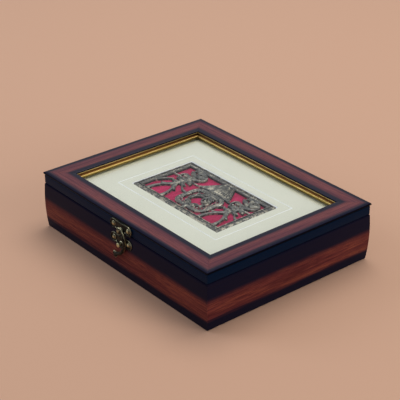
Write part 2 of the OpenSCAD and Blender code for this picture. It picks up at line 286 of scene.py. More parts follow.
def woodFinish(name, isRail):
    shader = Shader(name, Coat_Weight=0.0, Coat_Roughness=wood["coatRough"],
                    Specular_IOR_Level=wood["shine"], Specular_Tint=wood["shineTint"])
    along, inward, height, onSide = grainAxes(shader)
    long = along + onSide * wood["otherBar"]

    def grain(kind):
        length, across, detail, rough = wood[kind]
        return shader.noise(shader.vector(long * length, inward * across, height * across),
                            1.0, detail, rough)

    def below(top, depths):
        return shader.band(height, top / mm - depths[0], top / mm - depths[1])

    streaks = grain("streaks")
    fine = grain("fine")
    cloud = grain("cloud")
    wander = (streaks - 0.5) * wood["wander"][0] + (cloud - 0.5) * wood["wander"][1]
    low, lowEnd, highStart, high = wood["railBands"] if isRail else wood["wallBands"]
    across = inward if isRail else height
    level = across + wander * (wood["railWander"] if isRail else 1.0)
    red = shader.band(level, low, lowEnd) * (1 - shader.band(level, highStart, high))
    if isRail:
        red = red * below(topZ, wood["redDepth"])
    tone = shader.band(streaks * 0.85 + cloud * 0.25, 0.40, 0.66)
    deep = wood["topRedDeep"] if isRail else wood["redDeep"]
    mid = wood["topRed"] if isRail else wood["red"]
    warm = shader.mix(tone, deep, mid)
    light = wood["railLight"] if isRail else wood["wallLight"]
    warm = shader.mix(shader.band(fine * 0.7 + cloud * 0.4, 0.50, 0.70) * light, warm,
                      wood["redLight"])
    warm = shader.mix(shader.band(grain("pore"), 0.52, 0.66) * wood["pores"], warm,
                      wood["redDeep"])
    dark = shader.mix(streaks, wood["black"], wood["blackWarm"])
    rough = wood["rough"] + fine * wood["roughSpread"]
    if isRail:
        # painted shadow: from lipFade below the lip upward the side turns near black, standing in
        # for the shade under the lip
        lip = below(topZ, (rails["lipTall"] + wood["lipFade"], rails["lipTall"]))
        side = shader.mix(lip, wood["railBlack"], wood["lipShadowBlack"])
        dark = shader.mix(below(topZ, wood["blackDepth"]), side, dark)
        polish = below(topZ, wood["polishDepth"]) * shader.band(inward, *wood["polishIn"])
        shader.to(Coat_Weight=polish * wood["topCoat"])
    else:
        rough = rough + below(rimZ, wood["seamDepth"]) * wood["seamRough"]
    shader.to(Base_Color=shader.mix(red, dark, warm), Roughness=rough)
    shader.bump(streaks * 0.6 + fine * 0.4, 0.10, 0.25 * mm)
    return shader.material


def arcPoints(cx, cy, r, start, end, steps):
    turns = [math.radians(start + (end - start) * k / steps) for k in range(steps + 1)]
    return [(cx + r * math.cos(a), cy + r * math.sin(a)) for a in turns]


def scaled(points):
    return [(x * mm, y * mm) for x, y in points]


def finishMesh(name, bm, material, smoothAngle=38):
    bmesh.ops.recalc_face_normals(bm, faces=bm.faces)
    mesh = bpy.data.meshes.new(name)
    bm.to_mesh(mesh)
    bm.free()
    for face in mesh.polygons:
        face.use_smooth = True
    mesh.set_sharp_from_angle(angle=math.radians(smoothAngle))
    mesh.materials.append(material)
    piece = bpy.data.objects.new(name, mesh)
    bpy.context.scene.collection.objects.link(piece)
    return piece


def settle(piece, body, slotName, *replaced):
    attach(piece, body)
    if replaced:
        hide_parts(*replaced)
    return piece


def vertsOf(made):
    return [part for part in made if isinstance(part, bmesh.types.BMVert)]


def closedRing(bm, points):
    verts = [bm.verts.new(p) for p in points]
    return [bm.edges.new((verts[k - 1], verts[k])) for k in range(len(verts))]


def carryRing(bm, edges, frames):
    # extrudes a ring drawn for the first frame through the others, then closes both ends
    first = list(edges)
    for before, after in zip(frames, frames[1:]):
        made = bmesh.ops.extrude_edge_only(bm, edges=edges)["geom"]
        edges = [part for part in made if isinstance(part, bmesh.types.BMEdge)]
        bmesh.ops.transform(bm, matrix=after @ before.inverted(), verts=vertsOf(made))
    bmesh.ops.holes_fill(bm, edges=first + list(edges), sides=0)


def nestedRings(bm, loops):
    # loops holds (half width, half depth, height) of one rectangle after another
    start = loops[0]
    edges = closedRing(bm, [(sx * start[0], sy * start[1], start[2])
                            for sx, sy in ((-1, -1), (1, -1), (1, 1), (-1, 1))])
    for w, d, z in loops[1:] + [start]:
        made = bmesh.ops.extrude_edge_only(bm, edges=edges)["geom"]
        edges = [part for part in made if isinstance(part, bmesh.types.BMEdge)]
        for vert in vertsOf(made):
            vert.co = (math.copysign(w, vert.co.x), math.copysign(d, vert.co.y), z)
    bmesh.ops.remove_doubles(bm, verts=bm.verts, dist=0.001 * mm)


def addTo(whole, part, matrix=None):
    if matrix is not None:
        bmesh.ops.transform(part, matrix=matrix, verts=part.verts)
    bmesh.ops.recalc_face_normals(part, faces=part.faces)
    mesh = bpy.data.meshes.new("part")
    part.to_mesh(mesh)
    part.free()
    whole.from_mesh(mesh)
    bpy.data.meshes.remove(mesh)


def sweep(whole, section, path, wides, talls, lift):
    # carries a closed section along (x, y) points in mm, lift mm up, with a width and a
    # height in mm for each point
    frames = []
    count = len(path)
    for k in range(count):
        before = Vector(path[max(k - 1, 0)])
        after = Vector(path[min(k + 1, count - 1)])
        heading = math.atan2(after.y - before.y, after.x - before.x)
        frames.append(Matrix.Translation((path[k][0] * mm, path[k][1] * mm, lift * mm))
                      @ Matrix.Rotation(heading, 4, "Z")
                      @ Matrix.Diagonal((1, wides[k] * mm, talls[k] * mm, 1)))
    part = bmesh.new()
    ring = closedRing(part, [frames[0] @ Vector((0, y, z)) for y, z in section])
    carryRing(part, ring, frames)
    addTo(whole, part)


def mitredBar(side, profile, inset=0.0, gap=0.05 * mm):
    # profile holds (inward, height) points, from the line that lies inset inside the outline
    wide = halfW if side in ("front", "back") else halfD
    deep = halfD if side in ("front", "back") else halfW
    bm = bmesh.new()
    start = [bm.verts.new((-(wide - inset - u - gap), u + inset - deep, z)) for u, z in profile]
    cap = bm.faces.new(start)
    made = bmesh.ops.extrude_face_region(bm, geom=[cap])["geom"]
    for vert in vertsOf(made):
        vert.co.x = -vert.co.x
    bmesh.ops.rotate(bm, verts=bm.verts, cent=(0, 0, 0),
                     matrix=Matrix.Rotation(math.radians(sideTurn[side]), 3, "Z"))
    return bm


def lathe(profile, steps=24):
    # spins an outline of (radius, height) points, whose ends lie on the axis, about Z
    bm = bmesh.new()
    verts = [bm.verts.new((r, 0, z)) for r, z in profile]
    edges = [bm.edges.new(pair) for pair in zip(verts, verts[1:])]
    bmesh.ops.spin(bm, geom=verts + edges, cent=(0, 0, 0), axis=(0, 0, 1),
                   angle=math.tau, steps=steps, use_merge=True)
    bmesh.ops.remove_doubles(bm, verts=bm.verts, dist=0.001 * mm)
    return bm


def outOfFront(x, y, z):
    # local X stays, local Y becomes up and local Z comes out of the front wall
    return Matrix.Translation((x, y, z)) @ Matrix.Rotation(math.radians(90), 4, "X")


walls = {
    # mm; the wall is widest at bowHeight and footIn narrower at its foot
    "thick": 9.5,
    "bowHeight": 24,
    "footIn": 1.4,
    "rimRound": 0.4,
    "footRound": 0.5,
    "rabbet": 4,
    "floor": 4,
}


def bow(z):
    return walls["footIn"] * ((z - walls["bowHeight"]) / walls["bowHeight"]) ** 2


def wallProfile():
    rim = rimZ / mm
    rise = rim - walls["rimRound"]
    foot = walls["footRound"]
    steps = 18
    points = arcPoints(bow(0) + foot, foot, foot, 270, 180, 4)
    points += [(bow(z), z) for z in (foot + (rise - foot) * k / steps for k in range(1, steps))]
    points += arcPoints(bow(rise) + walls["rimRound"], rise, walls["rimRound"], 180, 90, 6)
    points += arcPoints(walls["thick"] - 0.4, rim - 0.4, 0.4, 90, 0, 3)
    inner = walls["thick"] - walls["rabbet"]
    points += [(walls["thick"], walls["floor"]), (inner, walls["floor"]), (inner, 0)]
    return scaled(points)


def makeWalls(material):
    for side in sideTurn:
        bm = mitredBar(side, wallProfile())
        piece = finishMesh(side + "_wall_moulding", bm, material)
        settle(piece, "base", "stained_wood", side + "_wall")


rails = {
    # mm; the lip stands lipOver outside the side below it
    "wide": 18.5,
    "lipOver": 0.7,
    "lipTall": 1.8,
    "edgeRound": 0.7,
    "cushion": 0.1,
    "rabbet": 4,
    "lipUnder": 4.5,
}

slips = {
    # mm; foot is what runs back under the rail, drop how far it stays below the lid's top
    "wide": 2.0,
    "foot": 3.7,
    "drop": 1.0,
}


def railProfile():
    top = topZ / mm
    low = lidZ / mm
    over = rails["lipOver"]
    lip = top - rails["lipTall"]
    r = rails["edgeRound"]
    wide = rails["wide"]
    crown = rails["cushion"]
    # the lower edge, the side up to a groove, the groove, the lip over it, then the top
    points = [(over + 0.6, low), (over + 0.15, low + 0.15), (over, low + 0.6)]
    points += [(over, lip - 0.95), (over + 0.12, lip - 0.8), (over + 0.75, lip - 0.7)]
    points += [(over + 0.75, lip + 0.1), (0.1, lip + 0.15), (0.0, lip + 0.3)]
    points += arcPoints(r, top - crown - r, r, 180, 100, 5)
    points += [(r + (wide - 2 * r) * k / 8, top - crown * (2 * k / 8 - 1) ** 2) for k in range(1, 8)]
    points += arcPoints(wide - r, top - crown - r, r, 80, 0, 5)
    sight = wide - rails["rabbet"]
    points += [(wide, top - rails["lipUnder"]), (sight, top - rails["lipUnder"]), (sight, low)]
    return scaled(points)


def slipProfile():
    base = glassTop / mm
    tall = (topZ - glassTop) / mm - slips["drop"]
    wide = slips["wide"]
    # the foot on the glass, its edge, a bead, a hollow, then the thin lip against the rail
    points = [(-slips["foot"], base), (wide - 0.15, base), (wide, base + 0.12)]
    points += [(wide, base + 0.85), (wide - 0.1, base + 1.0), (wide - 0.35, base + 1.08)]
    points += arcPoints(wide - 0.62, base + 1.6, 0.52, -60, 92, 9)
    points += arcPoints(1.3, base + 3.2, 1.02, 262, 128, 10)
    points += [(0.70, base + 4.12), (0.62, base + 4.32), (0.42, base + tall - 0.04)]
    points += [(0.1, base + tall - 0.04), (0.0, base + tall - 0.12)]
    points += [(0.0, topZ / mm - rails["lipUnder"]), (-slips["foot"], topZ / mm - rails["lipUnder"])]
    return scaled(points)


gilt = {
    "deep": (0.50, 0.34, 0.085),
    "light": (0.80, 0.60, 0.22),
    # side is a painted shade: the left and right slips are darker for how the light falls on them
    "side": (0.20, 0.125, 0.030),
    "lip": (0.20, 0.125, 0.045),
    # groove is a painted shade: the hollow of the slip is painted dark brown
    "groove": (0.10, 0.030, 0.002),
    "foot": (0.105, 0.078, 0.016),
    # heights above the glass, mm, between which each starts
    "lipFrom": (4.0, 4.12),
    "grooveFrom": (2.02, 2.30),
    "footTo": (0.96, 1.16),
}


def giltFinish():
    shader = Shader("gilt_leaf", Metallic=0.85, Roughness=0.25)
    along, inward, height, onSide = grainAxes(shader)
    up = height - glassTop / mm
    wear = shader.noise(shader.vector(along * 180, inward * 3, height * 3), 1.0, 3.0, 0.6)
    speck = shader.noise(shader.place(), 900, 2.0, 0.5)
    gold = shader.mix(shader.band(wear, 0.35, 0.7), gilt["deep"], gilt["light"])
    # painted shade: the left and right slips are mixed toward the darker side colour
    gold = shader.mix(onSide * 0.35, gold, gilt["side"])
    lip = shader.band(up, *gilt["lipFrom"])
    gold = shader.mix(lip * 0.7, gold, gilt["lip"])
    # painted shade: the hollow between the bead and the lip is painted dark brown
    groove = shader.band(up, *gilt["grooveFrom"]) * (1 - lip)
    colour = shader.mix(groove * 0.95, gold, gilt["groove"])
    foot = 1 - shader.band(up, *gilt["footTo"])
    shader.to(Base_Color=shader.mix(foot * 0.85, colour, gilt["foot"]))
    shader.to(Roughness=0.26 + speck * 0.16 + foot * 0.2 + groove * 0.1)
    shader.bump(wear * 0.5 + speck * 0.5, 0.12, 0.12 * mm)
    return shader.material


def makeLidFrame(railMaterial, slipMaterial):
    for side in sideTurn:
        bm = mitredBar(side, railProfile())
        piece = finishMesh(side + "_rail_moulding", bm, railMaterial)
        settle(piece, "lid", "frame_wood", "rail_" + side)
        bm = mitredBar(side, slipProfile(), rails["wide"] * mm, 0.03 * mm)
        piece = finishMesh(side + "_gilt_slip", bm, slipMaterial, 50)
        settle(piece, "lid", "gilt", "slip_" + side)


glass = {
    "clear": (0.985, 0.99, 0.985, 1),
    "polish": 0.04,
    # the share of gloss face on, and what a grazing view adds
    "least": 0.012,
    "grazing": 0.35,
}


def glassFinish():
    shader = Shader("clear_glass", Roughness=0.03, Alpha=0.0)
    clear = shader.node("ShaderNodeBsdfTransparent", values=[glass["clear"]], out="BSDF")
    gloss = shader.node("ShaderNodeBsdfGlossy", values={"Roughness": glass["polish"]}, out="BSDF")
    facing = shader.node("ShaderNodeLayerWeight", values={"Blend": 0.5}, out="Facing")
    share = facing ** 4 * glass["grazing"] + glass["least"]
    both = shader.node("ShaderNodeMixShader", values=[share, clear, gloss], out="Shader")
    output = shader.tree.nodes["Material Output"]
    shader.tree.links.new(both.socket, output.inputs["Surface"])
    return shader.material


mat = {
    "hole": 0.3,
    "bevel": 0.95,
    "groove": 8.6,
    "grooveWide": 0.55,
    "grooveDeep": 0.35,
    "cream": (0.545, 0.545, 0.450),
    "creamLight": (0.640, 0.640, 0.545),
    # giltShadeAndReflection is painted: a darker, yellower cream near the frame for its shade and
    # the gilt's reflection
    "giltShadeAndReflection": (0.50, 0.46, 0.27),
    # distances in from the frame, mm, over which the painted shade and painted gilt reflection on
    # the mat fade
    "giltShadeAndReflectionFade": (2.0, 6.5),
    "line": (0.84, 0.86, 0.88),
    "core": (0.86, 0.88, 0.92),
}


def matFinish():
    shader = Shader("cream_mat", Roughness=0.85, Sheen_Weight=0.1)
    x, y, z = shader.axes()
    fibres = shader.noise(shader.place(), 1500, 4.0, 0.6)
    cloud = shader.noise(shader.place(), 22, 3.0, 0.5)
    cream = shader.mix(fibres * 0.5 + cloud * 0.5, mat["cream"], mat["creamLight"])
    # painted shade and painted reflection: the cream turns darker and yellower near the gilt frame
    edge = shader.maths("MINIMUM", halfW - rails["wide"] * mm - abs(x),
                        halfD - rails["wide"] * mm - abs(y))
    giltShadeAndReflection = 1 - shader.band(edge / mm, *mat["giltShadeAndReflectionFade"])
    cream = shader.mix(giltShadeAndReflection * 0.65, cream, mat["giltShadeAndReflection"])
    core = 1 - shader.band((z - matTop) / mm, -0.10, -0.02)
    inside = shader.maths("MAXIMUM", abs(x) - (plaqueHigh.x + mat["groove"] * mm),
                          abs(y) - (plaqueHigh.y + mat["groove"] * mm))
    line = 1 - shader.band(abs(inside) / mm, 0.30, 0.55)
    cream = shader.mix(line * 0.25, cream, mat["line"])
    shader.to(Base_Color=shader.mix(core, cream, mat["core"]))
    shader.bump(fibres, 0.25, 0.12 * mm)
    return shader.material


def makeMat(material):
    low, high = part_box("mat_board")
    hole, groove, bevel = mat["hole"] * mm, mat["groove"] * mm, mat["bevel"] * mm
    holeW, holeD = plaqueHigh.x + hole, plaqueHigh.y + hole
    lineW, lineD = plaqueHigh.x + groove, plaqueHigh.y + groove
    half = mat["grooveWide"] * mm / 2
    loops = [
        (high.x, high.y, low.z),
        (high.x, high.y, high.z),
        (lineW + half, lineD + half, high.z),
        (lineW, lineD, high.z - mat["grooveDeep"] * mm),
        (lineW - half, lineD - half, high.z),
        (holeW + bevel, holeD + bevel, high.z),
        (holeW, holeD, high.z - bevel),
        (holeW, holeD, low.z),
    ]
    bm = bmesh.new()
    nestedRings(bm, loops)
    piece = finishMesh("mat_with_groove", bm, material, 10)
    settle(piece, "lid", "mat_card", "mat_board")


plaque = {
    # mm; sprays are X places, fan is X, lower and upper Y, frame is the medallion's X and Y
    "rim": 4.6,
    "rimTall": 2.45,
    "workTall": 2.0,
    "beadPitch": 2.6,
    "sprays": (-29.5, 32.5),
    "fan": (2.5, 9.0, 24.8),
    "frame": (3.0, -6.6),
    "dark": (0.016, 0.017, 0.018),
    "pewter": (0.130, 0.130, 0.124),
    "patch": (0.24, 0.235, 0.205),
    # wornAndGlint is warm specks on the crests: partly wear, partly a painted highlight
    "wornAndGlint": (0.78, 0.71, 0.56),
    "recess": (0.012, 0.012, 0.014),
}


def pewterFinish():
    shader = Shader("antiqued_pewter", Metallic=0.80, Roughness=0.4)
    x, y, z = shader.axes()
    up = (z - clothTop) / mm
    grain = shader.noise(shader.place(), 1500, 3.0, 0.6)
    patch = shader.noise(shader.place(), 330, 3.0, 0.6)
    edge = shader.node("ShaderNodeNewGeometry", out="Pointiness")
    lines = shader.node("ShaderNodeTexWave", {"wave_type": "BANDS", "bands_direction": "Y"}, {
        "Vector": shader.place(), "Scale": 420.0, "Distortion": 3.0, "Detail": 2.0,
        "Detail Scale": 1.5})
    height = shader.band(up, 0.7, 2.2)
    colour = shader.mix(height, plaque["dark"], plaque["pewter"])
    colour = shader.mix(shader.band(patch, 0.45, 0.75) * 0.6, colour, plaque["patch"])
    # painted highlight, partly wear: warm-white specks where the crests are sharp
    wornAndGlint = shader.band(edge, 0.54, 0.62) * shader.band(patch, 0.45, 0.60)
    colour = shader.mix(wornAndGlint * 0.70, colour, plaque["wornAndGlint"])
    inset = shader.maths("MINIMUM", plaqueHigh.x - abs(x), plaqueHigh.y - abs(y)) / mm
    half = plaque["rim"] / 2
    # dark in the two grooves that run along each edge of the border
    ruled = 1 - shader.band(abs(abs(abs(inset - half) - (half - 1.08)) - 0.26), 0.06, 0.20)
    recess = shader.maths("MAXIMUM", 1 - shader.band(edge, 0.42, 0.495),
                          ruled * (1 - shader.band(inset, 4.5, 4.7)))
    shader.to(Base_Color=shader.mix(recess * 0.85, colour, plaque["recess"]))
    shader.to(Roughness=0.32 + grain * 0.28)
    shader.bump(lines * 0.4 + grain * 0.6, 0.45, 0.2 * mm)
    return shader.material


def ribbon(whole, path, widths, tall, crown=0.35):
    # a raised band on the cloth along (x, y) points in mm, with a crowned top
    section = [(0.5, 0), (0.5, 1 - crown), (0.34, 1 - crown * 0.35), (0, 1),
               (-0.34, 1 - crown * 0.35), (-0.5, 1 - crown), (-0.5, 0)]
    count = len(path)
    wides = widths if isinstance(widths, (list, tuple)) else [widths] * count
    talls = [tall * (0.82 + 0.18 * min(1, wide / 1.2)) for wide in wides]
    sweep(whole, section, path, wides, talls, clothTop / mm)


def leafWidths(wide, steps):
    return [max(0.25, wide * math.sin(math.pi * (0.06 + 0.9 * k / steps)) ** 0.8)
            for k in range(steps + 1)]


def leafPath(start, turn, length, curl, steps=8):
    # walks from start at turn degrees, turning by curl degrees more over the length
    x, y = start
    points = [(x, y)]
    for k in range(steps):
        heading = math.radians(turn + curl * (k + 0.5) / steps)
        x += length / steps * math.cos(heading)
        y += length / steps * math.sin(heading)
        points.append((x, y))
    return points


def leaf(whole, start, turn, length, wide, curl, tall):
    # a crowned blade with a raised vein along it
    ribbon(whole, leafPath(start, turn, length, curl), leafWidths(wide, 8), tall, 0.55)
    ribbon(whole, leafPath(start, turn, length * 0.86, curl), 0.45, tall * 1.2, 0.6)


def volute(whole, start, turn, size, way, wide, tall):
    # a scroll that winds up as it goes, with a bead in its eye
    x, y = start
    points = [(x, y)]
    heading = math.radians(turn)
    steps = 22
    for k in range(steps):
        t = k / steps
        step = size * (1.05 - 0.85 * t) * 0.30
        heading += way * math.radians(9 + 24 * t)
        x += step * math.cos(heading)
        y += step * math.sin(heading)
        points.append((x, y))
    ribbon(whole, points, [wide * (1 - 0.6 * k / steps) for k in range(steps + 1)], tall)
    bead(whole, x, y, wide * 0.62, tall * 0.45, tall * 0.75)


def bead(whole, x, y, r, base, tall):
    part = lathe(scaled([(0, 0), (r, 0), (r, tall * 0.35), (r * 0.8, tall * 0.75),
                         (r * 0.42, tall * 0.95), (0, tall)]), 8)
    addTo(whole, part, Matrix.Translation((x * mm, y * mm, clothTop + base * mm)))


def spray(whole, x):
    # a full head of leaves and scrolls at the top, on two thin stems with long tendrils
    tall = plaque["workTall"]
    crest = [(x - 1.5 + 2.2 * math.sin(t * 3.4), -3.0 + 27.8 * t) for t in
             (k / 12 for k in range(13))]
    ribbon(whole, crest, [2.6, 3.2, 3.8, 4.2, 4.4, 4.4, 4.2, 4.0, 3.6, 3.4, 3.2, 3.0, 2.8],
           tall * 0.9)
    ribbon(whole, crest, 0.8, tall * 1.15, 0.6)
    # step on the crest, heading, length, width, curl
    blades = [
        (11, 20, 9.5, 4.6, 40), (11, 160, 8.5, 4.4, -40), (9, -4, 10.5, 4.8, 44),
        (9, 186, 9.0, 4.4, -48), (7, -22, 9.5, 4.4, 66), (7, 204, 9.5, 4.2, -62),
        (4, 14, 9.0, 4.0, -66), (4, 168, 9.5, 4.0, 60), (2, -30, 8.0, 3.8, 40),
        (2, 212, 8.5, 3.8, -36), (10, 62, 6.5, 3.6, 30), (10, 118, 6.5, 3.6, -30),
    ]
    for step, turn, length, wide, curl in blades:
        leaf(whole, crest[step], turn, length, wide, curl, tall * 1.03)
    volute(whole, crest[6], -8, 6.4, 1, 2.0, tall)
    volute(whole, crest[3], 196, 6.4, -1, 2.0, tall)
    volute(whole, crest[8], 176, 5.4, -1, 1.8, tall)
    for step, r in ((2, 1.2), (5, 1.5), (8, 1.3), (11, 1.1)):
        bead(whole, *crest[step], r, tall * 0.8, 0.9)
    # stems down to the lower border
    for side, foot in ((-1, x - 10.5), (1, x + 6.5)):
        stem = [(crest[0][0] + (foot - crest[0][0]) * t + side * 2.6 * math.sin(math.pi * t),
                 -3.0 - 21.9 * t) for t in (k / 10 for k in range(11))]
        ribbon(whole, stem, [4.4, 4.0, 3.4, 2.8, 2.4, 2.2, 2.2, 2.4, 2.8, 3.2, 4.0], tall)
        leaf(whole, stem[2], -90 + side * 42, 6.5, 3.4, side * 40, tall)
    ribbon(whole, leafPath((x - 8, 1.0), 214, 15, 44, 12), leafWidths(2.0, 12), tall * 1.1)
    ribbon(whole, leafPath((x + 6, -2.0), -50, 13, 60, 12), leafWidths(2.2, 12), tall * 1.1)


def fan(whole, x, low, high):
    # ribs that spread down from the upper border to a scalloped edge
    tall = plaque["workTall"]
    ribs = 13
    for k in range(ribs):
        across = 2 * k / (ribs - 1) - 1
        topX = x + across * 5.6
        footX = x + across * 15.6
        footY = low + 1.0 * (1 - across * across)
        path = [(topX + (footX - topX) * t, high + (footY - high) * t)
                for t in (0, 0.25, 0.5, 0.75, 1)]
        ribbon(whole, path, [1.05, 1.5, 2.0, 2.45, 2.9], tall * (0.95 + 0.06 * (k % 2)), 0.6)
        bead(whole, footX, footY - 0.5, 1.15, tall * 0.7, 0.8)
    edge = [(x + 16.8 * (2 * t - 1), low - 0.6 + 1.2 * (1 - (2 * t - 1) ** 2))
            for t in (k / 14 for k in range(15))]
    ribbon(whole, edge, 1.9, tall * 1.05)


def medallion(whole, x, y):
    # a square frame with round corners and a beaded crest, and a ring inside it
    tall = plaque["workTall"]
    corner = []
    for cx, cy, start in ((8.6, 6.4, 0), (-8.6, 6.4, 90), (-8.6, -6.4, 180), (8.6, -6.4, 270)):
        corner += arcPoints(x + cx, y + cy, 6.4, start, start + 90, 6)
    corner.append(corner[0])
    ribbon(whole, corner, 4.0, tall * 0.95)
    ribbon(whole, corner, 0.8, tall * 1.16, 0.6)
    count = 34
    for k in range(count):
        a = math.tau * k / count
        power = (abs(math.cos(a)) ** 4 + abs(math.sin(a)) ** 4) ** -0.25
        px = x + 15.4 * power * math.cos(a) * 0.98
        py = y + 13.0 * power * math.sin(a) * 0.98
        bead(whole, px, py, 1.25, 0.2, tall * 0.95)
        bead(whole, x + (px - x) * 0.84, y + (py - y) * 0.82, 0.8, tall * 0.6, 0.95)
    ribbon(whole, arcPoints(x, y, 9.4, 0, 360, 40), 1.4, tall * 0.95)
    ribbon(whole, arcPoints(x - 1, y - 1.2, 6.6, -10, 250, 26), leafWidths(1.6, 26), tall)
    for k in range(4):
        turn = 45 + 90 * k
        start = (x + 11.8 * math.cos(math.radians(turn)), y + 10.4 * math.sin(math.radians(turn)))
        volute(whole, start, turn + 180, 3.6, 1 if k % 2 else -1, 1.5, tall)
        leaf(whole, start, turn + 120, 5.5, 2.4, 60, tall * 1.04)
    for turn, way in ((70, 1), (20, -1)):
        a = math.radians(turn)
        volute(whole, (x + 9 * math.cos(a), y + 9 * math.sin(a)), turn + 150, 4.6, way, 1.8, tall)


def border(whole):
    tall = plaque["rimTall"]
    w = plaqueHigh.x
    d = plaqueHigh.y
    rim = plaque["rim"]
    section = [(0, 0), (0, tall - 0.25), (0.2, tall), (0.6, tall), (0.72, tall - 0.45),
               (0.92, tall - 0.45), (1.04, tall - 0.05), (1.28, tall - 0.05),
               (1.40, tall - 0.55), (rim - 1.40, tall - 0.55), (rim - 1.28, tall - 0.05),
               (rim - 1.04, tall - 0.05), (rim - 0.92, tall - 0.45), (rim - 0.72, tall - 0.45),
               (rim - 0.6, tall), (rim - 0.2, tall), (rim, tall - 0.25), (rim, 0)]
    bm = bmesh.new()
    nestedRings(bm, [(w - u * mm, d - u * mm, clothTop + z * mm) for u, z in section])
    addTo(whole, bm)
    middleW = w / mm - rim / 2
    middleD = d / mm - rim / 2
    countW = round(2 * middleW / plaque["beadPitch"])
    countD = round(2 * middleD / plaque["beadPitch"])
    for k in range(countW + 1):
        x = -middleW + 2 * middleW * k / countW
        for y in (-middleD, middleD):
            rimBead(whole, x, y, k, tall)
    for k in range(1, countD):
        y = -middleD + 2 * middleD * k / countD
        for x in (-middleW, middleW):
            rimBead(whole, x, y, k, tall)


def rimBead(whole, x, y, k, tall):
    # every third bead is larger
    r = 0.95 if k % 3 == 0 else 0.62
    bead(whole, x, y, r, tall - 0.65, 0.65 if k % 3 == 0 else 0.5)


def makePlaque(material):
    tall = plaque["workTall"]
    inner = plaqueHigh.x / mm - plaque["rim"]
    whole = bmesh.new()
    border(whole)
    for x in plaque["sprays"]:
        spray(whole, x)
    fan(whole, *plaque["fan"])
    medallion(whole, *plaque["frame"])
    ribbon(whole, [(-inner - 0.1, 8), (-30, 8), (-14, 8)], 1.1, tall * 0.9)
    ribbon(whole, [(19, 8), (32, 8), (inner + 0.1, 8)], 1.1, tall * 0.9)
    ribbon(whole, [(3, -19.6), (3, -22), (3, -24.8)], [3.6, 2.6, 3.8], tall)
    piece = finishMesh("pierced_plaque", whole, material, 42)
    settle(piece, "lid", "pewter", "plaque")


cloth = {
    "dark": (0.28, 0.008, 0.047),
    "light": (0.50, 0.018, 0.105),
    "threads": 9.0,
    "thick": 0.3,
    "below": 0.06,
    "wave": 0.03,
}


def clothFinish():
    shader = Shader("crimson_satin", Roughness=0.75, Specular_IOR_Level=0.12)
    x, y = shader.axes()[:2]
    warp = shader.maths("SINE", x / mm * cloth["threads"])
    weft = shader.maths("SINE", y / mm * cloth["threads"])
    slub = shader.noise(shader.vector(x * 500, y * 90, 0), 1.0, 3.0, 0.6)
    tone = shader.noise(shader.place(), 60, 2.0, 0.5)
    mask = shader.band(slub * 0.6 + tone * 0.4, 0.35, 0.7)
    shader.to(Base_Color=shader.mix(mask, cloth["dark"], cloth["light"]))
    shader.bump(warp * weft + slub, 0.25, 0.08 * mm)
    return shader.material


def makeCloth(material):
    low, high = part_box("plaque_cloth")
    bm = bmesh.new()
    bmesh.ops.create_grid(bm, x_segments=60, y_segments=46, size=1)
    bmesh.ops.scale(bm, vec=(high.x, high.y, 1), verts=bm.verts)
    for vert in bm.verts:
        wave = math.sin(vert.co.x * 260 + 1.3 * math.sin(vert.co.y * 120))
        vert.co.z = high.z - cloth["below"] * mm + cloth["wave"] * mm * wave
    made = bmesh.ops.solidify(bm, geom=bm.faces[:], thickness=cloth["thick"] * mm)
    for vert in vertsOf(made["geom"]):
        vert.co.z = min(vert.co.z, high.z)
    shift = low.z - min(v.co.z for v in bm.verts)
    if shift > 0:
        bmesh.ops.translate(bm, vec=(0, 0, shift), verts=bm.verts)
    piece = finishMesh("crimson_cloth", bm, material, 60)
    settle(piece, "lid", "crimson_cloth", "plaque_cloth")


pads = {
    "cell": 4.4,
    "pressure": 4.0,
    "mass": 0.3,
    "stretch": 4,
    "bend": 0.3,
    "quality": 6,
    "frames": 16,
    # share of the node's height before it is blown up, and of the rest it may take up
    "start": 0.58,
    "room": 0.94,
    "edgeIn": 0.1,
    "roll": 0.5,
    "velvet": (0.105, 0.005, 0.017),
    "velvetLight": (0.165, 0.009, 0.027),
    "sheen": (0.9, 0.35, 0.42, 1),
    "felt": (0.012, 0.008, 0.010),
    "feltLight": (0.055, 0.035, 0.042),
}


def velvetFinish():
    shader = Shader("wine_velvet", Roughness=0.9, Sheen_Weight=0.9, Sheen_Roughness=0.35,
                    Sheen_Tint=pads["sheen"])
    pile = shader.noise(shader.place(), 2600, 3.0, 0.6)
    nap = shader.noise(shader.place(), 26, 3.0, 0.5)
    mask = shader.band(nap * 0.75 + pile * 0.25, 0.35, 0.68)
    shader.to(Base_Color=shader.mix(mask, pads["velvet"], pads["velvetLight"]))
    shader.bump(pile, 0.45, 0.25 * mm)
    return shader.material


def feltFinish():
    shader = Shader("dark_felt", Roughness=0.95, Sheen_Weight=0.4)
    fibre = shader.noise(shader.place(), 1400, 4.0, 0.65)
    shader.to(Base_Color=shader.mix(fibre, pads["felt"], pads["feltLight"]))
    shader.bump(fibre, 0.5, 0.25 * mm)
    return shader.material


